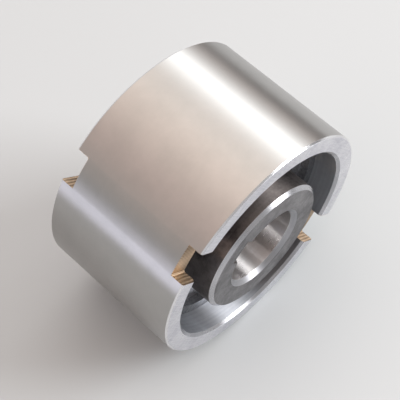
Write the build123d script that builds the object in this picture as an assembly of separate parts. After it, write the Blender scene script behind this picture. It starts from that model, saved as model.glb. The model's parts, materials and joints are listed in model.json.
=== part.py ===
"""One-way clutch bearing: a roller freewheel with a slotted outer ring and a keyed inner ring.

Every piece is drawn on an upright axis first, with the front face of the outer ring at zero and
depth growing towards the rear. The finished pieces are then laid on their side: the bearing axis
runs along Y, the front face looks towards -Y, and the origin is the middle of the bearing.
Lengths are millimetres and angles are degrees.
"""

import os
from math import atan2, cos, degrees, radians, sin

from build123d import *

# Inner ring, from the bore outwards
bore_diameter = 20.0
bore_chamfer = 1.1
key_width = 6.0
key_depth = 2.8
key_angle = 228.7
hub_wall = 7.5
hub_chamfer = 0.9
hub_proud = 0.7

# Space between the hub and the race, which holds the clutch and its bearings
ring_space = 8.5

# Outer ring, from the race outwards
ring_wall = 5.0
outer_length = 37.0
outer_chamfer = 0.4
recess_chamfer = 0.7
shoulder_depth = 6.0
shoulder_height = 3.5

# Torque slots across both end faces of the outer ring
slot_width = 8.2
slot_depth = 3.5
slot_corner_radius = 0.4
slot_angle = 42.4

# Clutch stations between the inner ring's ramps and the outer ring's race
station_count = 6
star_width = 8.0
star_clearance = 0.5
clutch_roller_diameter = 8.0
clutch_roller_chamfer = 0.4
wedge_angle = 7.5
release_travel = 1.2
pocket_play = 0.7
plunger_diameter = 3.4
plunger_length = 4.2
plunger_end = 1.2
plunger_drop = 0.8
plunger_bore = 2.3
spring_hole_depth = 6.0
spring_diameter = 2.0
spring_wire = 0.4

# Guide washers beside the star
washer_thickness = 1.0
washer_relief = 0.4
washer_edge_gap = 0.4

# Support bearings either side of the clutch
bearing_roller_count = 12
bearing_roller_diameter = 4.0
bearing_roller_length = 4.0
track_play = 0.1
rib_height = 1.1
rib_width = 0.9
cage_thickness = 1.2
cage_rim = 0.4
shield_thickness = 0.3
shield_inset = 0.1
shield_lip = 0.8
bearing_chamfer = 0.3

# Retaining ring in its groove at the front
clip_thickness = 2.0
clip_groove_depth = 1.5
clip_section = 4.4
clip_end_section = 2.6
clip_gap = 1.6
clip_gap_angle = 255.0
lug_radius = 2.4
lug_hole_diameter = 2.2

# Clearances
running_clearance = 0.01
sliding_clearance = 0.05
end_clearance = 0.1
shield_gap = 0.35

# Places that follow from the sizes above
bore_radius = bore_diameter / 2
hub_radius = bore_radius + hub_wall
race_radius = hub_radius + ring_space
outer_radius = race_radius + ring_wall
bearing_width = bearing_roller_length + 2 * (track_play + rib_width)
rear_bearing_at = outer_length - shoulder_depth - bearing_width
rear_washer_at = rear_bearing_at - washer_thickness
star_at = rear_washer_at - star_width
front_washer_at = star_at - washer_thickness
front_bearing_at = front_washer_at - bearing_width
clip_at = front_bearing_at - clip_thickness
star_middle = star_at + star_width / 2

roller_radius = clutch_roller_diameter / 2
seat_radius = race_radius - roller_radius
seat_height = seat_radius * cos(radians(wedge_angle))
seat_offset = seat_radius * sin(radians(wedge_angle))
ramp_height = seat_height - roller_radius
plunger_height = seat_height - plunger_drop
plunger_tip = seat_offset - roller_radius
pocket_spring_side = plunger_tip - release_travel - pocket_play
pocket_open_side = seat_offset + roller_radius + pocket_play
spring_hole_end = pocket_spring_side - spring_hole_depth

pitch_radius = (hub_radius + race_radius) / 2
inner_track_radius = pitch_radius - bearing_roller_diameter / 2
outer_track_radius = pitch_radius + bearing_roller_diameter / 2
rib_radius = outer_track_radius - rib_height


def turned(*outline):
    """Turn a ring about the axis from its (radius, depth) corners."""
    return revolve(Plane.XZ * make_face(Polyline(*outline, close=True)), Axis.Z)


def tube(outer, inner, depth, length):
    """Make a plain ring that starts at a depth."""
    return Pos(0, 0, depth) * extrude(Circle(outer) - Circle(inner), length)


def end_slot(floor_depth, mouth_depth):
    """Make the cutter of one transverse slot, with rounded corners along its floor."""
    height = abs(mouth_depth - floor_depth) * 2
    cutter = Box(outer_radius * 4, slot_width, height)
    floor_edges = cutter.edges().filter_by(Axis.X).group_by(Axis.Z)[0]
    cutter = Pos(0, 0, height / 2) * fillet(floor_edges, slot_corner_radius)
    if mouth_depth < floor_depth:
        cutter = Rot(180, 0, 0) * cutter
    return Rot(0, 0, slot_angle) * Pos(0, 0, floor_depth) * cutter


def outer_ring():
    """Make the outer ring: race, front recess, ring groove, rear shoulder and four torque slots."""
    groove_radius = race_radius + clip_groove_depth
    groove_front = clip_at - sliding_clearance
    groove_rear = front_bearing_at + end_clearance
    shoulder_at = outer_length - shoulder_depth
    shoulder_radius = race_radius - shoulder_height
    ring = turned(
        (outer_radius - outer_chamfer, 0),
        (outer_radius, outer_chamfer),
        (outer_radius, outer_length - outer_chamfer),
        (outer_radius - outer_chamfer, outer_length),
        (shoulder_radius + recess_chamfer, outer_length),
        (shoulder_radius, outer_length - recess_chamfer),
        (shoulder_radius, shoulder_at),
        (race_radius, shoulder_at),
        (race_radius, groove_rear),
        (groove_radius, groove_rear),
        (groove_radius, groove_front),
        (race_radius, groove_front),
        (race_radius, recess_chamfer),
        (race_radius + recess_chamfer, 0),
    )
    ring -= end_slot(slot_depth, 0)
    ring -= end_slot(outer_length - slot_depth, outer_length)
    return ring


def at_stations(piece):
    """Repeat one station's piece or cutter at every station round the star."""
    return [Rot(0, 0, n * 360 / station_count) * piece for n in range(station_count)]


def across(radius, height, start, end):
    """Make a round bar across a station, square to the ramp, between two tangential places."""
    bar = Rot(90, 0, 0) * Cylinder(radius, abs(end - start))
    return Pos(height, (start + end) / 2, star_middle) * bar


def roller_pocket():
    """Make the cutter of one ramp pocket and of the plunger's hole beside it."""
    depth = race_radius - ramp_height
    width = pocket_open_side - pocket_spring_side
    middle = (pocket_open_side + pocket_spring_side) / 2
    pocket = Pos(ramp_height + depth / 2, middle, star_middle) * Box(depth, width, star_width)
    hole_radius = plunger_diameter / 2 + sliding_clearance
    return pocket + across(hole_radius, plunger_height, spring_hole_end, middle)


def keyway():
    """Make the cutter of the keyway, open to the bore along its whole length."""
    length = outer_length + 4 * hub_proud
    reach = bore_radius + key_depth
    slot = Pos(reach / 2, 0, outer_length / 2) * Box(reach, key_width, length)
    return Rot(0, 0, key_angle) * slot


def inner_ring():
    """Make the inner ring: a keyed hub with the ramped star of the clutch at its middle."""
    front = -hub_proud
    rear = outer_length + hub_proud
    ring = turned(
        (bore_radius + bore_chamfer, front),
        (bore_radius, front + bore_chamfer),
        (bore_radius, rear - bore_chamfer),
        (bore_radius + bore_chamfer, rear),
        (hub_radius - hub_chamfer, rear),
        (hub_radius, rear - hub_chamfer),
        (hub_radius, front + hub_chamfer),
        (hub_radius - hub_chamfer, front),
    )
    ring += tube(race_radius - star_clearance, bore_radius + key_depth, star_at, star_width)
    for cutter in at_stations(roller_pocket()):
        ring -= cutter
    return ring - keyway()


def clutch_roller():
    """Make one clutch roller, seated between its ramp and the race."""
    radius = roller_radius - running_clearance
    roller = Cylinder(radius, star_width - 2 * end_clearance)
    roller = chamfer(roller.edges().filter_by(GeomType.CIRCLE), clutch_roller_chamfer)
    return Pos(seat_height, seat_offset, star_middle) * roller


def plunger():
    """Make one plunger cup, whose closed end pushes the roller up its ramp."""
    tip = plunger_tip - running_clearance
    body = across(plunger_diameter / 2, plunger_height, tip, tip - plunger_length)
    hollow = across(plunger_bore / 2, plunger_height, tip - plunger_end, tip - 2 * plunger_length)
    return body - hollow


def spring():
    """Make one compression spring as a plain sleeve, from the plunger to the hole's end."""
    start = plunger_tip - running_clearance - plunger_end
    sleeve = across(spring_diameter / 2, plunger_height, start, spring_hole_end)
    inside = across(spring_diameter / 2 - spring_wire, plunger_height, start, spring_hole_end)
    return sleeve - inside


def guide_washer(depth, towards_star):
    """Make one guide washer: thick at its bore, relieved towards the bearing's outer race."""
    inner = tube(inner_track_radius, hub_radius, depth, washer_thickness)
    plate_at = depth + washer_relief if towards_star > 0 else depth
    plate = tube(
        race_radius - washer_edge_gap,
        hub_radius,
        plate_at,
        washer_thickness - washer_relief,
    )
    return inner + plate


def inner_race(depth):
    """Make the plain inner race of a support bearing."""
    rear = depth + bearing_width
    return turned(
        (hub_radius + bearing_chamfer, depth),
        (inner_track_radius, depth),
        (inner_track_radius, rear),
        (hub_radius + bearing_chamfer, rear),
        (hub_radius, rear - bearing_chamfer),
        (hub_radius, depth + bearing_chamfer),
    )


def outer_race(depth, outward):
    """Make the ribbed outer race, with the shield's seat on its outward side."""
    half = bearing_width / 2
    track = half - rib_width
    seat = half - shield_inset - shield_thickness
    side = [
        (race_radius, -half),
        (race_radius, half),
        (rib_radius, half),
        (rib_radius, track),
        (outer_track_radius, track),
        (outer_track_radius, -track),
        (rib_radius, -track),
        (rib_radius, -seat),
        (rib_radius + shield_lip, -seat),
        (rib_radius + shield_lip, -half),
    ]
    middle = depth + half
    return turned(*[(radius, middle - outward * along) for radius, along in side])


def shield(depth, outward):
    """Make the thin shield that closes a bearing on its outward side."""
    if outward > 0:
        start = depth + bearing_width - shield_inset - shield_thickness
    else:
        start = depth + shield_inset
    return tube(rib_radius + shield_lip, inner_track_radius + shield_gap, start, shield_thickness)


def bearing_rollers(depth):
    """Make the separate rollers of one support bearing."""
    radius = bearing_roller_diameter / 2 - running_clearance
    middle = depth + bearing_width / 2
    roller = Pos(pitch_radius, 0, middle) * Cylinder(radius, bearing_roller_length)
    step = 360 / bearing_roller_count
    return [Rot(0, 0, n * step) * roller for n in range(bearing_roller_count)]


def bearing_cage(depth):
    """Make the cage that spaces the rollers of one support bearing."""
    middle = depth + bearing_width / 2
    inside = pitch_radius - cage_thickness / 2
    outside = pitch_radius + cage_thickness / 2
    width = bearing_roller_length + 2 * cage_rim
    cage = tube(outside, inside, middle - width / 2, width)
    window = Box(
        3 * cage_thickness,
        bearing_roller_diameter + 2 * sliding_clearance,
        bearing_roller_length + 2 * sliding_clearance,
    )
    step = 360 / bearing_roller_count
    for n in range(bearing_roller_count):
        cage -= Rot(0, 0, n * step) * Pos(pitch_radius, 0, middle) * window
    return cage


def retaining_ring():
    """Make the internal retaining ring: a tapered spring ring with two plier lugs at its gap."""
    outside = race_radius + clip_groove_depth - sliding_clearance
    inside = outside - (clip_section + clip_end_section) / 2
    taper = (clip_section - clip_end_section) / 2
    lug_at = outside - clip_end_section - lug_radius / 2
    lug_side = degrees(atan2(clip_gap / 2 + lug_radius, lug_at))
    ring = Circle(outside) - Pos(taper, 0) * Circle(inside)
    for side in (-1, 1):
        ring += Rot(0, 0, side * lug_side) * Pos(lug_at, 0) * Circle(lug_radius)
        ring -= Rot(0, 0, side * lug_side) * Pos(lug_at, 0) * Circle(lug_hole_diameter / 2)
    ring -= Pos(outside, 0) * Rectangle(outside, clip_gap)
    return Pos(0, 0, clip_at) * Rot(0, 0, clip_gap_angle) * extrude(ring, clip_thickness)


def lay_down(piece):
    """Turn an upright piece onto its side, with the origin at the bearing's middle."""
    return Pos(0, -outer_length / 2, 0) * Rot(-90, 0, 0) * piece


def build():
    """Make every piece upright and return them by node name."""
    pieces = {
        "outer_ring": outer_ring(),
        "inner_ring": inner_ring(),
        "front_retaining_ring": retaining_ring(),
        "front_guide_washer": guide_washer(front_washer_at, 1),
        "rear_guide_washer": guide_washer(rear_washer_at, -1),
    }
    for end, depth, outward in (("front", front_bearing_at, -1), ("rear", rear_bearing_at, 1)):
        pieces[f"{end}_bearing_outer_race"] = outer_race(depth, outward)
        pieces[f"{end}_bearing_inner_race"] = inner_race(depth)
        pieces[f"{end}_bearing_cage"] = bearing_cage(depth)
        pieces[f"{end}_bearing_rollers"] = bearing_rollers(depth)
        pieces[f"{end}_bearing_shield"] = shield(depth, outward)
    for name, piece in (
        ("clutch_roller", clutch_roller()),
        ("roller_plunger", plunger()),
        ("roller_spring", spring()),
    ):
        for number, copy in enumerate(at_stations(piece), start=1):
            pieces[f"{name}_{number}"] = copy
    return pieces


os.makedirs("parts", exist_ok=True)
for name, piece in build().items():
    solids = piece if isinstance(piece, list) else [piece]
    laid = [lay_down(solid) for solid in solids]
    export_step(laid[0] if len(laid) == 1 else Compound(children=laid), f"parts/{name}.step")
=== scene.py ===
"""Studio scene of a one-way clutch bearing that lies on its side on a pale floor.

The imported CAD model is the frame. Its steel and brass pieces keep their meshes and get their
finishes here, and wound coils stand for the six plain spring sleeves. The bearing's axis is Y, its
front face looks towards -Y, and the origin is its middle. Lengths are metres, unless a name ends in
mm.
"""

import json
import logging
import math
from dataclasses import dataclass
from enum import Enum

import bpy
import numpy as np
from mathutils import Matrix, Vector


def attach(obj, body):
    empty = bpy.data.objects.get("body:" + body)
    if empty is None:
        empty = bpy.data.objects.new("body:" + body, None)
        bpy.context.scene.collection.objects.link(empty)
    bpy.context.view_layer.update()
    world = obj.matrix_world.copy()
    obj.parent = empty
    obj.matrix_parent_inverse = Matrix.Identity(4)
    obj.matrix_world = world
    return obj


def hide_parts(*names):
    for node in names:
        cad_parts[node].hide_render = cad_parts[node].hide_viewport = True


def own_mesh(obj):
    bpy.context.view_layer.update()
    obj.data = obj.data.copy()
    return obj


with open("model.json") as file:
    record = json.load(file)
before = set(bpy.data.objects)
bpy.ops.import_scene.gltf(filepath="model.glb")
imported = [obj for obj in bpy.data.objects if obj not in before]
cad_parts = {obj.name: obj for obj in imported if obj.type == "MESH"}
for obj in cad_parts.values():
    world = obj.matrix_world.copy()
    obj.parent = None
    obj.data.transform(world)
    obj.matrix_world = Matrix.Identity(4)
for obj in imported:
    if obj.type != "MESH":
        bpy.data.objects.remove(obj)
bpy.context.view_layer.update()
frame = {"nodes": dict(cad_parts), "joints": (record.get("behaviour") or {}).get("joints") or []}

log = logging.getLogger("one_way_clutch")
MM = 0.001
MICRON = MM * MM
# A limit is this much wider or narrower than its surface, so that rounding doesn't matter.
HAIR_MM = 0.03
# A limit that only has to reach past a surface goes this far beyond it.
BEYOND_MM = 1.0
# A wave texture of scale 1 has this many bands in one unit.
WAVES_PER_UNIT = 3.2


def linear(code: str) -> tuple[float, float, float, float]:
    """Turn an sRGB hex colour into linear light.

    Args:
        code: Six hex digits, with or without a leading #.

    Returns:
        Linear red, green and blue, and a full alpha.
    """
    digits = code.lstrip("#")
    shares = [int(digits[n:n + 2], 16) / 255 for n in (0, 2, 4)]
    light = [s / 12.92 if s <= 0.04045 else ((s + 0.055) / 1.055) ** 2.4 for s in shares]
    return (*light, 1.0)


def add_node(tree: bpy.types.NodeTree, kind: str, settings: dict | None = None,
             links: dict | None = None) -> bpy.types.Node:
    """Add one shader node with its settings and links.

    Args:
        tree: Node tree that gets the node.
        kind: Blender's type name of the node.
        settings: Values by property name, or by input name or number.
        links: Output sockets by input name or number.

    Returns:
        The new node.
    """
    node = tree.nodes.new(kind)
    for key, value in (settings or {}).items():
        if isinstance(key, int) or key in node.inputs:
            node.inputs[key].default_value = value
        else:
            setattr(node, key, value)
    for key, socket in (links or {}).items():
        tree.links.new(socket, node.inputs[key])
    return node


class Lay(Enum):
    """How a tool's marks lie on a steel surface."""

    TURNED = "turned"
    MILLED = "milled"
    SCRATCHED = "scratched"
    STAINED = "stained"


class Measure(Enum):
    """What a limit measures at a point of a piece."""

    RADIUS = "radius"
    REACH = "reach"
    ACROSS = "across"


@dataclass(frozen=True)
class Limit:
    """A range of one measure of a point.

    Attributes:
        measure: Distance from the axis, from the middle along the axis, or from a slot's middle.
        low_mm: Lowest value inside.
        high_mm: Highest value inside.
    """

    measure: Measure
    low_mm: float
    high_mm: float


@dataclass(frozen=True)
class Zone:
    """One surface of a steel piece, with the finish that its tool left.

    Attributes:
        name: Plain name of the surface; it is not used.
        colour: sRGB hex of the clean metal.
        dull: sRGB hex of the metal where marks and stains are deepest.
        roughness: Mean roughness.
        lay: Direction of the tool marks.
        limits: Ranges that a point of the surface keeps to.
        grain: How far the marks change the roughness.
        mark_um: Depth of the marks in the bump, in thousandths of a millimetre.
        draw: How far the marks draw out a highlight across them, 1 for lines round the axis.
    """

    name: str
    colour: str
    dull: str
    roughness: float
    lay: Lay
    limits: tuple[Limit, ...] = ()
    grain: float = 0.08
    mark_um: float = 2.0
    draw: float = 1.0


@dataclass(frozen=True)
class ZonedSteel:
    """Machined steel whose surfaces were each finished by another tool.

    Attributes:
        name: Name of the material.
        zones: The surfaces, the first one being what no other covers.
        turned_pitch_mm: Spacing of the turned and ground lines, as coarse as they need to show.
        turned_drift: How fast the turned lines change round the axis, per millimetre.
        milled_pitch_mm: Spacing of the milling cutter's marks.
        milled_slant: How much faster the marks change across a slot than with its depth.
        scratch_mm: Width of the abrasive's scratches.
        scratch_ways: Their directions in radians, and how many times longer than wide they are.
        slot_degrees: Angle of the torque slots from +X towards -Z.
        stain_mm: Size of the clouds of handling marks.
        blot_mm: Size of the stains of heat and oil.
        nick_gap_mm: Usual distance between two small dents.
        nick_um: Depth of the dents, in thousandths of a millimetre.
        nick_share: Radius of a dent as a share of the usual distance.
        stain_lines: Share of the turned lines in the stains.
    """

    name: str
    zones: tuple[Zone, ...]
    turned_pitch_mm: float = 0.45
    turned_drift: float = 0.03
    milled_pitch_mm: float = 0.9
    milled_slant: float = 2.0
    scratch_mm: float = 0.35
    scratch_ways: tuple[tuple[float, float], ...] = ((0.6, 9.0), (-0.9, 7.0))
    slot_degrees: float = 42.4
    stain_mm: float = 7.0
    blot_mm: float = 2.4
    nick_gap_mm: float = 6.0
    nick_um: float = 3.0
    nick_share: float = 0.05
    stain_lines: float = 0.25

    def measures(self, tree: bpy.types.NodeTree) -> dict[str, bpy.types.NodeSocket]:
        """Work out a point's place from its Object coordinates, in millimetres.

        Args:
            tree: Material's node tree.

        Returns:
            Sockets: the point, its radius from the axis, its depth along the axis with its sign and
            its reach without, its place along a slot and to the side of it with its sign, and its
            distance across a slot without.
        """
        place = add_node(tree, "ShaderNodeTexCoord").outputs["Object"]
        point = add_node(tree, "ShaderNodeVectorMath", {"operation": "SCALE", "Scale": 1 / MM},
                         {0: place}).outputs["Vector"]
        depth = add_node(tree, "ShaderNodeSeparateXYZ", links={0: point}).outputs["Y"]
        flat = add_node(tree, "ShaderNodeVectorMath", {"operation": "MULTIPLY", 1: (1, 0, 1)},
                        {0: point}).outputs[0]
        radius = add_node(tree, "ShaderNodeVectorMath", {"operation": "LENGTH"},
                          {0: flat}).outputs["Value"]
        reach = add_node(tree, "ShaderNodeMath", {"operation": "ABSOLUTE"}, {0: depth}).outputs[0]
        angle = math.radians(self.slot_degrees)
        slot_side = (math.sin(angle), 0, math.cos(angle))
        slot_way = (math.cos(angle), 0, -math.sin(angle))
        side = add_node(tree, "ShaderNodeVectorMath", {"operation": "DOT_PRODUCT", 1: slot_side},
                        {0: point}).outputs["Value"]
        along = add_node(tree, "ShaderNodeVectorMath", {"operation": "DOT_PRODUCT", 1: slot_way},
                         {0: point}).outputs["Value"]
        across = add_node(tree, "ShaderNodeMath", {"operation": "ABSOLUTE"}, {0: side}).outputs[0]
        return {"point": point, "radius": radius, "depth": depth, "reach": reach, "side": side,
                "along": along, "across": across}

    def turned_lines(self, tree: bpy.types.NodeTree,
                     at: dict[str, bpy.types.NodeSocket]) -> bpy.types.NodeSocket:
        """Draw noise that changes fast with radius and with depth and slowly round the axis.

        Args:
            tree: Material's node tree.
            at: Sockets from measures.

        Returns:
            The lines, stretched so that they fill the range from 0 to 1.
        """
        fine = 1 / self.turned_pitch_mm
        lines = add_node(tree, "ShaderNodeCombineXYZ", links={0: at["radius"], 1: at["depth"]})
        fast = add_node(tree, "ShaderNodeVectorMath", {"operation": "MULTIPLY", 1: (fine, fine, 0)},
                        {0: lines.outputs[0]})
        slow = add_node(tree, "ShaderNodeVectorMath",
                        {"operation": "MULTIPLY", 1: (self.turned_drift, 0, self.turned_drift)},
                        {0: at["point"]})
        place = add_node(tree, "ShaderNodeVectorMath", {"operation": "ADD"},
                         {0: fast.outputs[0], 1: slow.outputs[0]})
        noise = add_node(tree, "ShaderNodeTexNoise",
                         {"Scale": 1.0, "Detail": 4.0, "Roughness": 0.65},
                         {"Vector": place.outputs[0]})
        return add_node(tree, "ShaderNodeMapRange", {"From Min": 0.3, "From Max": 0.7},
                        {0: noise.outputs["Fac"]}).outputs[0]

    def milled_waves(self, tree: bpy.types.NodeTree,
                     at: dict[str, bpy.types.NodeSocket]) -> bpy.types.NodeSocket:
        """Draw waves of the depth plus a multiple of the place across a slot, bent by noise.

        Args:
            tree: Material's node tree.
            at: Sockets from measures.

        Returns:
            The waves, from 0 to 1.
        """
        slant = add_node(tree, "ShaderNodeMath",
                         {"operation": "MULTIPLY_ADD", 1: self.milled_slant},
                         {0: at["side"], 2: at["depth"]})
        place = add_node(tree, "ShaderNodeCombineXYZ",
                         links={0: slant.outputs[0], 1: at["along"], 2: at["radius"]})
        return add_node(tree, "ShaderNodeTexWave",
                        {"wave_type": "BANDS", "bands_direction": "X",
                         "Scale": 1 / (self.milled_pitch_mm * WAVES_PER_UNIT),
                         "Distortion": 1.6, "Detail": 3.0, "Detail Scale": 1.2},
                        {"Vector": place.outputs[0]}).outputs["Fac"]

    def scratches(self, tree: bpy.types.NodeTree,
                  at: dict[str, bpy.types.NodeSocket]) -> bpy.types.NodeSocket:
        """Draw the mean of two noises, each drawn out its own way along a face.

        Args:
            tree: Material's node tree.
            at: Sockets from measures.

        Returns:
            The scratches, stretched so that they fill the range from 0 to 1.
        """
        ways = []
        for turn, pull in self.scratch_ways:
            twist = add_node(tree, "ShaderNodeMapping", {"Rotation": (0, turn, 0)},
                             {"Vector": at["point"]})
            thin, long = 1 / self.scratch_mm, 1 / (self.scratch_mm * pull)
            drawn = add_node(tree, "ShaderNodeVectorMath",
                             {"operation": "MULTIPLY", 1: (thin, thin, long)},
                             {0: twist.outputs[0]})
            ways.append(add_node(tree, "ShaderNodeTexNoise", {"Scale": 1.0, "Detail": 3.0},
                                 {"Vector": drawn.outputs[0]}).outputs["Fac"])
        both = add_node(tree, "ShaderNodeMath", {"operation": "ADD"}, {0: ways[0], 1: ways[1]})
        mean = add_node(tree, "ShaderNodeMath", {"operation": "MULTIPLY", 1: 0.5},
                        {0: both.outputs[0]})
        return add_node(tree, "ShaderNodeMapRange", {"From Min": 0.38, "From Max": 0.62},
                        {0: mean.outputs[0]}).outputs[0]

    def stains(self, tree: bpy.types.NodeTree, at: dict[str, bpy.types.NodeSocket],
               lines: bpy.types.NodeSocket) -> bpy.types.NodeSocket:
        """Draw fine clouds with a share of the turned lines.

        Args:
            tree: Material's node tree.
            at: Sockets from measures.
            lines: The turned lines.

        Returns:
            The stains, from 0 to 1.
        """
        noise = add_node(tree, "ShaderNodeTexNoise",
                         {"Scale": 1 / self.blot_mm, "Detail": 6.0, "Roughness": 0.7},
                         {"Vector": at["point"]})
        blots = add_node(tree, "ShaderNodeMapRange", {"From Min": 0.35, "From Max": 0.65},
                         {0: noise.outputs["Fac"]})
        return add_node(tree, "ShaderNodeMix", {"data_type": "FLOAT", 0: self.stain_lines},
                        {2: blots.outputs[0], 3: lines}).outputs[0]

    def nicks(self, tree: bpy.types.NodeTree, at: dict[str, bpy.types.NodeSocket],
              height: bpy.types.NodeSocket) -> bpy.types.NodeSocket:
        """Sink small round dents, the few that handling leaves, into a relief.

        Args:
            tree: Material's node tree.
            at: Sockets from measures.
            height: The relief so far, in thousandths of a millimetre.

        Returns:
            The relief with the dents.
        """
        cells = add_node(tree, "ShaderNodeTexVoronoi", {"Scale": 1 / self.nick_gap_mm},
                         {"Vector": at["point"]})
        dent = add_node(tree, "ShaderNodeMapRange",
                        {"interpolation_type": "SMOOTHSTEP", "From Min": 0.0,
                         "From Max": self.nick_share, "To Min": -self.nick_um, "To Max": 0.0},
                        {0: cells.outputs["Distance"]})
        return add_node(tree, "ShaderNodeMath", {"operation": "ADD"},
                        {0: height, 1: dent.outputs[0]}).outputs[0]

    def mask(self, tree: bpy.types.NodeTree, at: dict[str, bpy.types.NodeSocket],
             zone: Zone) -> bpy.types.NodeSocket:
        """Make the number that is 1 on a zone and 0 off it.

        Args:
            tree: Material's node tree.
            at: Sockets from measures.
            zone: Surface to mark.

        Returns:
            The mask's socket.
        """
        inside = None
        for limit in zone.limits:
            middle = (limit.low_mm + limit.high_mm) / 2
            half_width = (limit.high_mm - limit.low_mm) / 2
            within = add_node(tree, "ShaderNodeMath",
                              {"operation": "COMPARE", 1: middle, 2: half_width},
                              {0: at[limit.measure.value]}).outputs[0]
            if inside is None:
                inside = within
            else:
                inside = add_node(tree, "ShaderNodeMath", {"operation": "MULTIPLY"},
                                  {0: inside, 1: within}).outputs[0]
        return inside

    def build(self) -> bpy.types.Material:
        """Make the material: one metal shader whose colour, roughness and bump change by zone.

        Returns:
            The finished material.
        """
        material = bpy.data.materials.new(self.name)
        material.use_nodes = True
        tree = material.node_tree
        tree.nodes.clear()
        at = self.measures(tree)
        lines = self.turned_lines(tree, at)
        marks = {Lay.TURNED: lines, Lay.MILLED: self.milled_waves(tree, at),
                 Lay.SCRATCHED: self.scratches(tree, at), Lay.STAINED: self.stains(tree, at, lines)}
        clouds = add_node(tree, "ShaderNodeTexNoise",
                          {"Scale": 1 / self.stain_mm, "Detail": 6.0, "Roughness": 0.6},
                          {"Vector": at["point"]}).outputs["Fac"]
        handling = add_node(tree, "ShaderNodeMapRange", {"From Min": 0.35, "From Max": 0.65},
                            {0: clouds})
        worn = add_node(tree, "ShaderNodeMath", {"operation": "MULTIPLY", 1: 0.5},
                        {0: handling.outputs[0]})
        colour = rough = height = draw = None
        for zone in self.zones:
            mark = marks[zone.lay]
            # Half of the shade comes from the tool's marks and half from the clouds of handling.
            shade = add_node(tree, "ShaderNodeMath", {"operation": "MULTIPLY_ADD", 1: 0.5},
                             {0: mark, 2: worn.outputs[0]})
            tint = add_node(tree, "ShaderNodeMix",
                            {"data_type": "RGBA", "clamp_factor": True, 6: linear(zone.colour),
                             7: linear(zone.dull)},
                            {0: shade.outputs[0]}).outputs[2]
            gloss = add_node(tree, "ShaderNodeMath",
                             {"operation": "MULTIPLY_ADD", 1: 2 * zone.grain,
                              2: zone.roughness - zone.grain},
                             {0: shade.outputs[0]}).outputs[0]
            rise = add_node(tree, "ShaderNodeMath", {"operation": "MULTIPLY", 1: zone.mark_um},
                            {0: mark}).outputs[0]
            pull = add_node(tree, "ShaderNodeValue").outputs[0]
            pull.default_value = zone.draw
            if not zone.limits:
                colour, rough, height, draw = tint, gloss, rise, pull
                continue
            inside = self.mask(tree, at, zone)
            colour = add_node(tree, "ShaderNodeMix", {"data_type": "RGBA"},
                              {0: inside, 6: colour, 7: tint}).outputs[2]
            rough, height, draw = (
                add_node(tree, "ShaderNodeMix", {"data_type": "FLOAT"},
                         {0: inside, 2: before, 3: here}).outputs[0]
                for before, here in ((rough, gloss), (height, rise), (draw, pull)))
        height = self.nicks(tree, at, height)
        bump = add_node(tree, "ShaderNodeBump", {"Strength": 1.0, "Distance": MICRON},
                        {"Height": height})
        metal = add_node(tree, "ShaderNodeBsdfPrincipled",
                         {"Metallic": 1.0, "Anisotropic Rotation": 0.25},
                         {"Base Color": colour, "Roughness": rough, "Anisotropic": draw,
                          "Normal": bump.outputs[0], "Tangent": round_the_axis(tree)})
        add_node(tree, "ShaderNodeOutputMaterial", links={"Surface": metal.outputs[0]})
        return material


def round_the_axis(tree: bpy.types.NodeTree) -> bpy.types.NodeSocket:
    """Work out the direction round the bearing's axis at a point.

    The cross product of the Y axis and the point is square to both, so it runs round the axis. It
    is turned from the piece's own frame to the world's, so that it turns with the piece.

    Args:
        tree: Material's node tree.

    Returns:
        The direction's socket.
    """
    place = add_node(tree, "ShaderNodeTexCoord").outputs["Object"]
    round_about = add_node(tree, "ShaderNodeVectorMath",
                           {"operation": "CROSS_PRODUCT", 0: (0, 1, 0)}, {1: place})
    unit = add_node(tree, "ShaderNodeVectorMath", {"operation": "NORMALIZE"},
                    {0: round_about.outputs[0]})
    turned = add_node(tree, "ShaderNodeVectorTransform",
                      {"vector_type": "VECTOR", "convert_from": "OBJECT", "convert_to": "WORLD"},
                      {"Vector": unit.outputs[0]})
    return turned.outputs[0]


@dataclass(frozen=True)
class PlainFinish:
    """A finish that covers a whole piece, such as brass or ground roller steel.

    Attributes:
        name: Name of the material.
        colour: sRGB hex of the light parts.
        dark: sRGB hex of the dark parts.
        roughness: Mean roughness.
        grain_mm: Size of the pattern.
        spread: How far the pattern changes the roughness.
        relief_um: Height of the pattern, in thousandths of a millimetre.
    """

    name: str
    colour: str
    dark: str
    roughness: float
    grain_mm: float = 0.5
    spread: float = 0.08
    relief_um: float = 1.5

    def build(self) -> bpy.types.Material:
        """Make the material.

        Returns:
            The finished material.
        """
        material = bpy.data.materials.new(self.name)
        material.use_nodes = True
        tree = material.node_tree
        tree.nodes.clear()
        place = add_node(tree, "ShaderNodeTexCoord").outputs["Object"]
        noise = add_node(tree, "ShaderNodeTexNoise",
                         {"Scale": 1 / (self.grain_mm * MM), "Detail": 4.0, "Roughness": 0.6},
                         {"Vector": place}).outputs["Fac"]
        spread = add_node(tree, "ShaderNodeMapRange", {"From Min": 0.3, "From Max": 0.7},
                          {0: noise}).outputs[0]
        tint = add_node(tree, "ShaderNodeMix",
                        {"data_type": "RGBA", 6: linear(self.dark), 7: linear(self.colour)},
                        {0: spread}).outputs[2]
        gloss = add_node(tree, "ShaderNodeMath",
                         {"operation": "MULTIPLY_ADD", 1: -2 * self.spread,
                          2: self.roughness + self.spread},
                         {0: spread}).outputs[0]
        bump = add_node(tree, "ShaderNodeBump",
                        {"Strength": 1.0, "Distance": self.relief_um * MICRON},
                        {"Height": spread})
        surface = add_node(tree, "ShaderNodeBsdfPrincipled", {"Metallic": 1.0},
                           {"Base Color": tint, "Roughness": gloss, "Normal": bump.outputs[0]})
        add_node(tree, "ShaderNodeOutputMaterial", links={"Surface": surface.outputs[0]})
        return material


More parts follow.
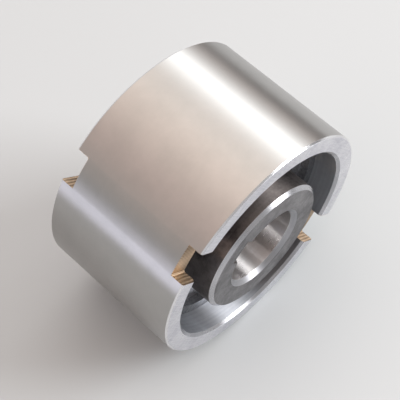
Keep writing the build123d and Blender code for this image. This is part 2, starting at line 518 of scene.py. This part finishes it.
def dress(node: str, material: bpy.types.Material) -> None:
    """Give a CAD node its finish and report it.

    Args:
        node: Name of the CAD node.
        material: Its finish.
    """
    piece = frame["nodes"][node]
    piece.data.materials.clear()
    piece.data.materials.append(material)
    log.info("%s: %s", node, material.name)


@dataclass
class Camera:
    """The camera that stands where the photograph was taken from.

    Attributes:
        place: Its point.
        elevation: Degrees that it looks down.
        heading: Degrees from +Y towards +X that it looks along.
        lens_mm: Focal length.
        sensor_mm: Width of the sensor.
        near: Distance before which nothing is drawn, in metres.
    """

    place: tuple[float, float, float] = (-0.098829, -0.094556, 0.240587)
    elevation: float = 60.512
    heading: float = 45.882
    lens_mm: float = 107.096
    sensor_mm: float = 36.0
    near: float = 0.01

    def build(self) -> None:
        """Make the camera and give it to the scene."""
        data = bpy.data.cameras.new("photo_camera")
        data.lens = self.lens_mm
        data.sensor_width = self.sensor_mm
        data.clip_start = self.near
        camera = bpy.data.objects.new("photo_camera", data)
        camera.location = self.place
        camera.rotation_euler = (math.radians(90 - self.elevation), 0, math.radians(-self.heading))
        bpy.context.scene.collection.objects.link(camera)
        bpy.context.scene.camera = camera
        bpy.context.scene.view_settings.view_transform = "Standard"


@dataclass(frozen=True)
class LightBand:
    """One line of the light tent, which runs along the bearing's axis.

    Attributes:
        angle: Degrees from straight up, growing towards -X.
        glow: Radiance there, where 1 is white.
        colour: sRGB hex of its light.
    """

    angle: float
    glow: float
    colour: str


@dataclass(frozen=True)
class SoftBox:
    """A square lamp ahead of the object on its right, low enough to light the recess and the bore.

    Attributes:
        place: Where it stands, in metres. It faces the middle of the object.
        width: Its side, in metres.
        watts: Its power.
    """

    place: tuple[float, float, float] = (0.84, -0.68, 0.48)
    width: float = 0.60
    watts: float = 18.0

    def build(self) -> None:
        """Make the lamp."""
        data = bpy.data.lights.new("soft_box", "AREA")
        data.shape = "SQUARE"
        data.size = self.width
        data.energy = self.watts
        lamp = bpy.data.objects.new("soft_box", data)
        lamp.location = self.place
        lamp.rotation_euler = (-Vector(self.place)).to_track_quat("-Z", "Y").to_euler()
        bpy.context.scene.collection.objects.link(lamp)


@dataclass
class Studio:
    """The floor and the light tent, a tunnel of soft light round the bearing's axis.

    Attributes:
        floor_at: Height of the floor, which the outer ring rests on.
        floor_reach: Half of the floor's width.
        floor_colour: sRGB hex of the floor, cool enough to look neutral in the tent's warm light.
        bands: The tent's light from the floor at +X over the top to the floor at -X.
        front_glow: Share of that light that the tent's front end gives.
        rear_glow: Share of that light that the tent's rear end gives.
        end_colour: sRGB hex of the low sheets that close the tent's ends.
        end_strength: Light of these sheets, where 1 is white.
        front_fade: Runs along the axis between which the light fades towards the front end.
        rear_fade: The same for the rear end.
        sheet_fade: Runs along the axis between which the low sheets begin, at both ends.
        sheet_top: Heights between which they stop.
    """

    floor_at: float = -0.031
    floor_reach: float = 0.25
    floor_colour: str = "#b8bdc0"
    bands: tuple[LightBand, ...] = (
        LightBand(-180, 0.40, "#ffffff"),
        LightBand(-104, 0.28, "#fff8f4"),
        LightBand(-92, 0.42, "#fff4f0"),
        LightBand(-85, 1.05, "#fff4f0"),
        LightBand(-78, 1.36, "#fffaf8"),
        LightBand(-71, 1.80, "#ffffff"),
        LightBand(-63, 3.40, "#ffffff"),
        LightBand(-55, 2.30, "#ffffff"),
        LightBand(-46, 1.55, "#fffaf6"),
        LightBand(-38, 1.70, "#fff5ee"),
        LightBand(-22, 2.15, "#fff4ec"),
        LightBand(-14, 2.20, "#fff1e8"),
        LightBand(2, 2.02, "#ffeee4"),
        LightBand(18, 1.66, "#ffece2"),
        LightBand(34, 1.36, "#ffe9e0"),
        LightBand(50, 1.08, "#ffe9e0"),
        LightBand(66, 0.76, "#fff0e8"),
        LightBand(79, 0.62, "#fffafa"),
        LightBand(87, 1.20, "#f6f4ff"),
        LightBand(94, 2.10, "#f0f0ff"),
        LightBand(105, 2.25, "#f0f0ff"),
        LightBand(114, 0.50, "#f4f4ff"),
        LightBand(180, 0.40, "#ffffff"),
    )
    front_glow: float = 0.14
    rear_glow: float = 0.15
    end_colour: str = "#f4f5f6"
    end_strength: float = 0.75
    front_fade: tuple[float, float] = (-0.05, -0.60)
    rear_fade: tuple[float, float] = (0.50, 0.80)
    sheet_fade: tuple[float, float] = (0.50, 0.66)
    sheet_top: tuple[float, float] = (0.30, 0.45)

    def floor(self) -> None:
        """Make the flat floor and its pale finish, and keep it off the object."""
        mesh = bpy.data.meshes.new("floor")
        corners = np.array([(-1, -1), (1, -1), (1, 1), (-1, 1)]) * self.floor_reach
        points = np.column_stack([corners, np.full(4, self.floor_at)])
        mesh.from_pydata(points.tolist(), [], [(0, 1, 2, 3)])
        floor = bpy.data.objects.new("floor", mesh)
        bpy.context.scene.collection.objects.link(floor)
        # Matt background paper: pale, without any shine.
        material = bpy.data.materials.new("background_paper")
        material.use_nodes = True
        tree = material.node_tree
        tree.nodes.clear()
        paper = add_node(tree, "ShaderNodeBsdfDiffuse", {"Color": linear(self.floor_colour)})
        add_node(tree, "ShaderNodeOutputMaterial", links={"Surface": paper.outputs[0]})
        mesh.materials.append(material)

    def tent(self) -> None:
        """Make the soft light all round, which changes with the angle about the bearing's axis.

        The angle of a direction is the arc tangent of its run towards -X over its height, and a
        ramp turns it into the light of the bands, blended between one band and the next. Towards
        the tent's ends, which lie along the axis, the light fades, and pale sheets stand there low
        down.
        """
        world = bpy.data.worlds.new("light_tent")
        bpy.context.scene.world = world
        world.use_nodes = True
        tree = world.node_tree
        tree.nodes.clear()
        way = add_node(tree, "ShaderNodeTexCoord").outputs["Generated"]
        parts = add_node(tree, "ShaderNodeSeparateXYZ", links={0: way}).outputs
        back = add_node(tree, "ShaderNodeMath", {"operation": "MULTIPLY", 1: -1.0}, {0: parts["X"]})
        angle = add_node(tree, "ShaderNodeMath", {"operation": "ARCTAN2"},
                         {0: back.outputs[0], 1: parts["Z"]})
        share = add_node(tree, "ShaderNodeMapRange", {"From Min": -math.pi, "From Max": math.pi},
                         {0: angle.outputs[0]})
        ramp = add_node(tree, "ShaderNodeValToRGB", links={0: share.outputs[0]})
        brightest = max(band.glow for band in self.bands)
        stops = ramp.color_ramp.elements
        for number, band in enumerate(self.bands):
            place = (band.angle + 180) / 360
            # A new ramp has two stops already.
            if number < 2:
                stop = stops[number]
                stop.position = place
            else:
                stop = stops.new(place)
            glow = band.glow / brightest
            stop.color = [part * glow for part in linear(band.colour)[:3]] + [1.0]

        from_middle = add_node(tree, "ShaderNodeMath", {"operation": "ABSOLUTE"}, {0: parts["Y"]})
        # Each fade has the run of a direction, where it starts and ends, and the values there.
        fades = (
            (parts["Y"], self.front_fade, (brightest, brightest * self.front_glow)),
            (parts["Y"], self.rear_fade, (1.0, self.rear_glow)),
            (from_middle.outputs[0], self.sheet_fade, (0.0, 1.0)),
            (parts["Z"], self.sheet_top, (1.0, 0.0)),
        )
        front, rear, near_end, low_down = (
            add_node(tree, "ShaderNodeMapRange",
                     {"interpolation_type": "SMOOTHSTEP", "From Min": reach[0],
                      "From Max": reach[1], "To Min": levels[0], "To Max": levels[1]},
                     {0: run}).outputs[0] for run, reach, levels in fades)
        strength = add_node(tree, "ShaderNodeMath", {"operation": "MULTIPLY"}, {0: front, 1: rear})
        light = add_node(tree, "ShaderNodeBackground",
                         links={"Color": ramp.outputs[0], "Strength": strength.outputs[0]})
        end = add_node(tree, "ShaderNodeBackground",
                       {"Color": linear(self.end_colour), "Strength": self.end_strength})
        sheet = add_node(tree, "ShaderNodeMath", {"operation": "MULTIPLY"},
                         {0: near_end, 1: low_down})
        both = add_node(tree, "ShaderNodeMixShader",
                        links={0: sheet.outputs[0], 1: light.outputs[0], 2: end.outputs[0]})
        add_node(tree, "ShaderNodeOutputWorld", links={"Surface": both.outputs[0]})

    def build(self) -> None:
        """Make the floor, the light tent and the lamp."""
        self.floor()
        self.tent()
        SoftBox().build()


@dataclass
class OuterRing:
    """The slotted outer ring and the dark retaining ring that sits in its groove.

    Attributes:
        outside_mm: Radius of the outside.
        wall_mm: Radius of the race and the front recess.
        end_mm: Reach of the end faces from the middle.
        slot_floor_mm: Reach of the slots' floors from the middle.
        slot_half_mm: Half width of a slot.
        chamfer_mm: Width of the edge breaks.
        recess_chamfer_mm: Width of the recess's edge break.
        recess_from_mm: Reach from the middle where the finish of the recess wall begins.
        slot_from_mm: Radius where the finish of the slots begins.
    """

    outside_mm: float = 31.0
    wall_mm: float = 26.0
    end_mm: float = 18.5
    slot_floor_mm: float = 15.0
    slot_half_mm: float = 4.1
    chamfer_mm: float = 0.4
    recess_chamfer_mm: float = 0.7
    recess_from_mm: float = 11.0
    slot_from_mm: float = 22.0

    def steel(self) -> ZonedSteel:
        """Describe the ring's surfaces.

        Returns:
            The finish of the outer ring.
        """
        # Bearing steel, ground outside and on the race: satin grey that draws a highlight out along
        # the axis. The end faces are ground flat and pale, and the slots were milled after
        # hardening, which left them rough and tinted straw and brown by the heat; the strong light
        # and dark stripes along their cutter marks are partly painted highlight and painted shade.
        # The recess wall's darker grey is painted shade of the recess.
        return ZonedSteel("ground_bearing_steel", (
            Zone("race", "#b9b9bc", "#a4a4a8", 0.22, Lay.TURNED),
            Zone("outside", "#b4b2b0", "#adacaa", 0.31, Lay.STAINED,
                 (Limit(Measure.RADIUS, self.outside_mm - HAIR_MM, self.outside_mm + BEYOND_MM),),
                 grain=0.01, mark_um=0.01, draw=0.96),
            # The recess wall is a darker grey than the race: painted shade of the recess.
            Zone("recess wall", "#a9abb0", "#8f9196", 0.45, Lay.TURNED,
                 (Limit(Measure.RADIUS, self.wall_mm - BEYOND_MM, self.wall_mm + HAIR_MM),
                  Limit(Measure.REACH, self.recess_from_mm, self.end_mm)),
                 grain=0.16, mark_um=2.5, draw=0.85),
            Zone("end faces", "#eaeaee", "#c2c2ca", 0.36, Lay.SCRATCHED,
                 (Limit(Measure.REACH, self.end_mm - HAIR_MM, self.end_mm + BEYOND_MM),),
                 grain=0.12, mark_um=3.0, draw=0.0),
            Zone("outer edge breaks", "#eeeef0", "#dcdcde", 0.2, Lay.TURNED,
                 (Limit(Measure.RADIUS, self.outside_mm - self.chamfer_mm + HAIR_MM,
                        self.outside_mm - HAIR_MM),
                  Limit(Measure.REACH, self.end_mm - self.chamfer_mm - HAIR_MM,
                        self.end_mm - HAIR_MM)),
                 grain=0.05, mark_um=0.5),
            Zone("recess edge break", "#c2c2c6", "#aaaaae", 0.28, Lay.TURNED,
                 (Limit(Measure.RADIUS, self.wall_mm + HAIR_MM,
                        self.wall_mm + self.recess_chamfer_mm - HAIR_MM),
                  Limit(Measure.REACH, self.end_mm - self.recess_chamfer_mm,
                        self.end_mm - HAIR_MM)),
                 grain=0.05, mark_um=0.5),
            # Light tan to dark brown along the cutter marks: partly heat tint, partly painted
            # highlight and painted shade of the marks.
            Zone("slots", "#e8cdae", "#54402e", 0.46, Lay.MILLED,
                 (Limit(Measure.ACROSS, 0, self.slot_half_mm + HAIR_MM),
                  Limit(Measure.REACH, self.slot_floor_mm - HAIR_MM, self.end_mm + BEYOND_MM),
                  Limit(Measure.RADIUS, self.slot_from_mm, self.outside_mm + BEYOND_MM)),
                 grain=0.12, mark_um=25.0, draw=0.3),
        ))

    def build(self) -> None:
        """Dress the outer ring and its retaining ring."""
        dress("outer_ring", self.steel().build())
        # Spring steel, stamped and oiled: plain grey and dull, so that it goes dark in the recess.
        dress("front_retaining_ring", PlainFinish("oiled_spring_steel", "#a4a5a9", "#7a7b7f", 0.42,
                                                  grain_mm=0.7, spread=0.08, relief_um=3.0).build())


@dataclass
class InnerRing:
    """The keyed inner ring with its ramped star.

    Attributes:
        bore_mm: Radius of the bore.
        hub_mm: Radius of the hub.
        end_mm: Reach of the hub's faces from the middle.
        hub_chamfer_mm: Width of the hub's edge break.
        bore_chamfer_mm: Width of the bore's edge break.
        keyway_to_mm: Radius where the finish of the keyway ends.
    """

    bore_mm: float = 10.0
    hub_mm: float = 17.5
    end_mm: float = 19.2
    hub_chamfer_mm: float = 0.9
    bore_chamfer_mm: float = 1.1
    keyway_to_mm: float = 13.5

    def steel(self) -> ZonedSteel:
        """Describe the ring's surfaces.

        Returns:
            The finish of the inner ring.
        """
        # Alloy steel, hardened: the hub keeps the dark, brownish clouds of the heat and the oil,
        # and only the bore and the edge breaks, which were cut bright afterwards, shine.
        return ZonedSteel("hardened_hub_steel", (
            Zone("star", "#948f8b", "#827e7a", 0.3, Lay.TURNED),
            Zone("hub outside", "#a09895", "#413c3c", 0.42, Lay.STAINED,
                 (Limit(Measure.RADIUS, self.hub_mm - HAIR_MM, self.hub_mm + HAIR_MM),),
                 grain=0.10, mark_um=0.4, draw=0.8),
            Zone("bore", "#dddbdb", "#cdcaca", 0.28, Lay.TURNED,
                 (Limit(Measure.RADIUS, 0, self.bore_mm + HAIR_MM),),
                 grain=0.02, mark_um=0.08),
            Zone("keyway", "#938e8a", "#6e6a66", 0.34, Lay.MILLED,
                 (Limit(Measure.RADIUS, self.bore_mm + HAIR_MM, self.keyway_to_mm),
                  Limit(Measure.REACH, 0, self.end_mm - self.bore_chamfer_mm)),
                 grain=0.08, mark_um=1.5),
            Zone("faces", "#868486", "#5c5a5d", 0.38, Lay.STAINED,
                 (Limit(Measure.REACH, self.end_mm - HAIR_MM, self.end_mm + BEYOND_MM),),
                 grain=0.16, mark_um=2.0, draw=0.4),
            Zone("hub edge breaks", "#c8c8cc", "#acacb0", 0.26, Lay.TURNED,
                 (Limit(Measure.RADIUS, self.hub_mm - self.hub_chamfer_mm + HAIR_MM,
                        self.hub_mm - HAIR_MM),
                  Limit(Measure.REACH, self.end_mm - self.hub_chamfer_mm, self.end_mm - HAIR_MM)),
                 grain=0.05, mark_um=0.6, draw=0.8),
            Zone("bore edge breaks", "#b4b4b8", "#949498", 0.36, Lay.TURNED,
                 (Limit(Measure.RADIUS, self.bore_mm + HAIR_MM,
                        self.bore_mm + self.bore_chamfer_mm - HAIR_MM),
                  Limit(Measure.REACH, self.end_mm - self.bore_chamfer_mm, self.end_mm - HAIR_MM)),
                 grain=0.05, mark_um=0.6, draw=0.6),
        ))

    def build(self) -> None:
        """Dress the inner ring and the two guide washers on it."""
        dress("inner_ring", self.steel().build())
        # Hardened strip steel, barrel finished: even, soft grey.
        washer = PlainFinish("hardened_washer_steel", "#b4b4b6", "#98989b", 0.3).build()
        for end in ("front", "rear"):
            dress(f"{end}_guide_washer", washer)


@dataclass
class SupportBearings:
    """The two roller bearings that carry the hub in the outer ring."""

    def build(self) -> None:
        """Dress the races, rollers, cages and shields of both bearings."""
        # Bearing steel, finely ground: light grey with a clear shine.
        race = PlainFinish("ground_race_steel", "#bfbfc2", "#a6a6aa", 0.2).build()
        # Bearing steel, honed: nearly a mirror, with a grain too fine to see, so it is drawn coarse
        # enough to show.
        roller = PlainFinish("honed_roller_steel", "#cdcdd0", "#bcbcc0", 0.12, grain_mm=0.4,
                             spread=0.04, relief_um=0.4).build()
        # Brass, turned and drilled: warm yellow with a satin shine.
        cage = PlainFinish("machined_brass", "#d0ad62", "#b08e4a", 0.3).build()
        # Cold-rolled sheet steel, pressed: grey and slightly dull.
        shield = PlainFinish("pressed_shield_steel", "#b2b2b5", "#9c9ca0", 0.32).build()
        for end in ("front", "rear"):
            dress(f"{end}_bearing_outer_race", race)
            dress(f"{end}_bearing_inner_race", race)
            dress(f"{end}_bearing_rollers", roller)
            dress(f"{end}_bearing_cage", cage)
            dress(f"{end}_bearing_shield", shield)


@dataclass
class ClutchStations:
    """The spring-loaded rollers of the clutch, each with its plunger and its wound spring.

    Attributes:
        count: Number of stations round the star.
        wire_mm: Thickness of the spring's wire.
        turns: Turns of the spring's wire.
        closed_turns: Turns at each end that lie close together.
        closed_pitch: Distance between these turns, as a multiple of the wire.
        wire_sides: Faces round the wire.
        steps_per_turn: Rings of points along one turn.
        travel_mm: How far a roller is pushed back at its release; it is not used.
    """

    count: int = 6
    wire_mm: float = 0.4
    turns: float = 7.5
    closed_turns: float = 1.0
    closed_pitch: float = 1.04
    wire_sides: int = 8
    steps_per_turn: int = 20
    travel_mm: float = 1.2

    def wind(self, middle: np.ndarray, directions: np.ndarray, ends: tuple[float, float],
             outside: float) -> np.ndarray:
        """Work out the surface of one wound wire.

        The wire's middle goes round the spring's axis while it climbs along it: slowly in the
        closed end turns and evenly between them. A small circle carried along that path makes the
        surface.

        Args:
            middle: Point of the axis at height 0.
            directions: Direction of the axis, and two square to it and to each other.
            ends: Lowest and highest height of the spring along its axis.
            outside: Largest distance of the spring from its axis.

        Returns:
            Points by ring and place in the ring.
        """
        along, across, third = directions
        low, high = ends
        wire = self.wire_mm * MM / 2
        steps = int(self.turns * self.steps_per_turn) + 1
        turn = np.linspace(0, self.turns, steps)
        open_turns = self.turns - 2 * self.closed_turns
        closed_pitch = 2 * wire * self.closed_pitch
        open_pitch = (high - low - 2 * wire - 2 * self.closed_turns * closed_pitch) / open_turns
        pitch = np.where((turn < self.closed_turns) | (turn > self.turns - self.closed_turns),
                         closed_pitch, open_pitch)
        climb = np.concatenate([[0], np.cumsum((pitch[1:] + pitch[:-1]) / 2 * np.diff(turn))])
        climb *= (high - low - 2 * wire) / climb[-1]
        angle = 2 * np.pi * turn
        outward = np.cos(angle)[:, None] * across + np.sin(angle)[:, None] * third
        path = middle + (outside - wire) * outward + (low + wire + climb)[:, None] * along
        tangent = np.gradient(path, axis=0)
        tangent /= np.linalg.norm(tangent, axis=1)[:, None]
        binormal = np.cross(tangent, outward)
        around = np.linspace(0, 2 * np.pi, self.wire_sides, endpoint=False)
        return (path[:, None] + wire * np.cos(around)[None, :, None] * outward[:, None]
                + wire * np.sin(around)[None, :, None] * binormal[:, None])

    def spring(self, number: int, finish: bpy.types.Material) -> None:
        """Wind one compression spring where its CAD sleeve is, and hang it on the hub.

        Args:
            number: Station number, from 1.
            finish: Material of the wire.
        """
        node = f"roller_spring_{number}"
        release = next(j for j in frame["joints"] if j["name"] == f"roller_{number}_release")
        along = np.array(release["axis"], float)
        across = np.array([0.0, 1.0, 0.0])
        third = np.cross(along, across)
        points = np.array([v.co for v in frame["nodes"][node].data.vertices], float).reshape(-1, 3)
        heights = points @ along
        low, high = heights.min(), heights.max()
        middle = (points.min(0) + points.max(0)) / 2
        middle -= along * (middle @ along)
        from_axis = np.linalg.norm((points - middle) @ np.column_stack([across, third]), axis=1)
        grid = self.wind(middle, np.array([along, across, third]), (low, high), from_axis.max())
        spring = tube_mesh(node.replace("roller_spring", "wound_spring"), grid)
        spring.data.materials.append(finish)
        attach(spring, "hub")
        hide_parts(node)
        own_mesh(spring)
        log.info("%s: wound from %s", spring.name, finish.name)

    def build(self) -> None:
        """Dress the rollers and plungers, and wind the springs."""
        # Bearing steel, honed: nearly a mirror, with a grain drawn coarse enough to show.
        roller = PlainFinish("honed_clutch_roller_steel", "#cfcfd2", "#bdbdc1", 0.12, grain_mm=0.5,
                             spread=0.04, relief_um=0.4).build()
        # Sheet steel, deep drawn: mid grey with a soft shine.
        plunger = PlainFinish("drawn_plunger_steel", "#a9a9ad", "#8f8f94", 0.3).build()
        # Spring wire, oil tempered: darker grey with a trace of brown.
        wire = PlainFinish("oil_tempered_spring_wire", "#8d8983", "#6f6b66", 0.28).build()
        for number in range(1, self.count + 1):
            dress(f"clutch_roller_{number}", roller)
            dress(f"roller_plunger_{number}", plunger)
            self.spring(number, wire)


def tube_mesh(name: str, grid: np.ndarray) -> bpy.types.Object:
    """Make a closed tube from rings of points, with a flat disc at each end.

    Args:
        name: Name of the new piece.
        grid: Points by ring and place in the ring, turning left as seen from the far end.

    Returns:
        The new object, at the origin.
    """
    rings, sides, _ = grid.shape
    index = np.arange(rings * sides).reshape(rings, sides)
    here, there = index[:-1], index[1:]
    quads = np.stack([here, np.roll(here, -1, 1), np.roll(there, -1, 1), there], -1).reshape(-1, 4)
    mesh = bpy.data.meshes.new(name)
    caps = [index[0][::-1].tolist(), index[-1].tolist()]
    mesh.from_pydata(grid.reshape(-1, 3).tolist(), [], quads.tolist() + caps)
    mesh.validate()
    smooth = np.ones(len(mesh.polygons), bool)
    smooth[-2:] = False
    mesh.polygons.foreach_set("use_smooth", smooth)
    piece = bpy.data.objects.new(name, mesh)
    bpy.context.scene.collection.objects.link(piece)
    return piece


def main() -> None:
    """Build the camera, the studio and every sub-assembly in order."""
    logging.basicConfig(level=logging.INFO, format="%(name)s: %(message)s")
    for part in (Camera(), Studio(), OuterRing(), InnerRing(), SupportBearings(), ClutchStations()):
        part.build()
        log.info("%s is done", type(part).__name__)


if __name__ == "__main__":
    main()
